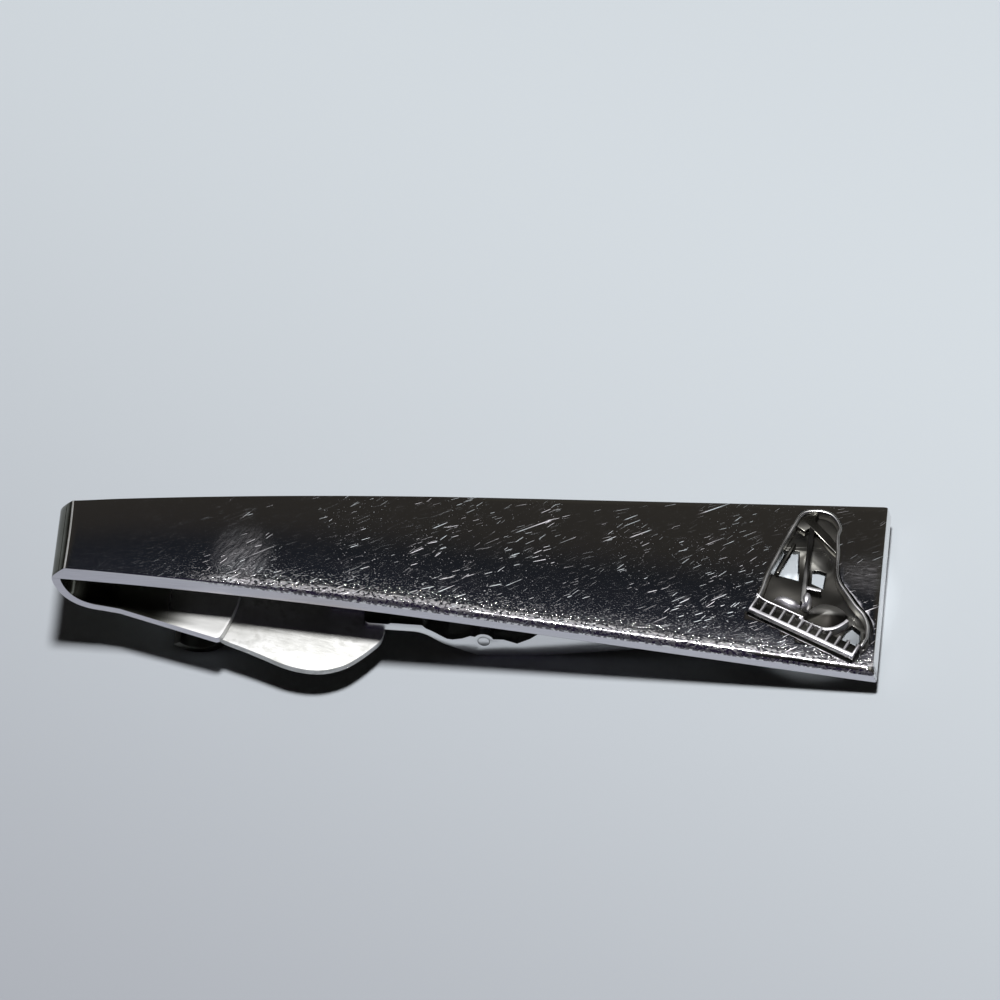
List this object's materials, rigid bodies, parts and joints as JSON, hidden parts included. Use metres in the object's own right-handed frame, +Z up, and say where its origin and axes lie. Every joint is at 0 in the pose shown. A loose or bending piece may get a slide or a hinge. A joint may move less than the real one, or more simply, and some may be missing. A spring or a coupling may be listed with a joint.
{
  "type": "tie clip",
  "caption": "Tapered tie clip with a crowned front plate folded back as a spring arm, a pivoted toothed jaw lever with a thumb pad, and a pierced grand piano ornament",
  "frame": {"origin": "centre of the bottom of the clip's box as it lies on a table on its jaw's belly and its finger lip", "axes": "+Z up, +X along the clip from the folded narrow end to the wide end, +Y across it towards the far edge"},
  "size_m": [0.0576, 0.0144, 0.0095],
  "materials": {
    "front_plate": "polished",
    "spring_arm": "satin silver plating",
    "hinge_bracket": "satin silver plating",
    "hinge_pin": "ground steel",
    "jaw_lever": "satin silver plating",
    "thumb_pad": "satin silver plating",
    "piano_rim": "polished",
    "piano_soundboard": "darkened plating",
    "piano_lid": "darkened plating",
    "lid_prop": "polished",
    "string_brace": "polished",
    "case_front": "darkened plating",
    "case_moulding": "polished",
    "music_desk": "polished",
    "keyboard": "darkened plating",
    "piano_keys": "polished"
  },
  "bodies": {
    "clip": {"front_plate": "front_plate", "hinge_bracket": "hinge_bracket", "hinge_pin": "hinge_pin", "piano_rim": "piano_rim", "piano_soundboard": "piano_soundboard", "piano_lid": "piano_lid", "lid_prop": "lid_prop", "string_brace": "string_brace", "case_front": "case_front", "case_moulding": "case_moulding", "music_desk": "music_desk", "keyboard": "keyboard", "piano_keys": "piano_keys"},
    "lever": {"jaw_lever": "jaw_lever", "thumb_pad": "thumb_pad"},
    "arm": {"spring_arm": "spring_arm"}
  },
  "joints": [
    {"name": "lever_pivot", "type": "hinge", "parent": "clip", "child": "lever", "pos_m": [0.00081, 0, 0.00145], "axis": [0, 1, 0], "range_deg": [0, 7], "stiffness_Nm_per_rad": 0.01, "springref_deg": -17.19},
    {"name": "arm_flex", "type": "hinge", "parent": "clip", "child": "arm", "pos_m": [-0.02519, 0, 0.00471], "axis": [0, 1, 0], "range_deg": [-16.6, 0]}
  ],
  "couplings": [
    {"joint": "arm_flex", "follows": "lever_pivot", "ratio": -2.35}
  ]
}
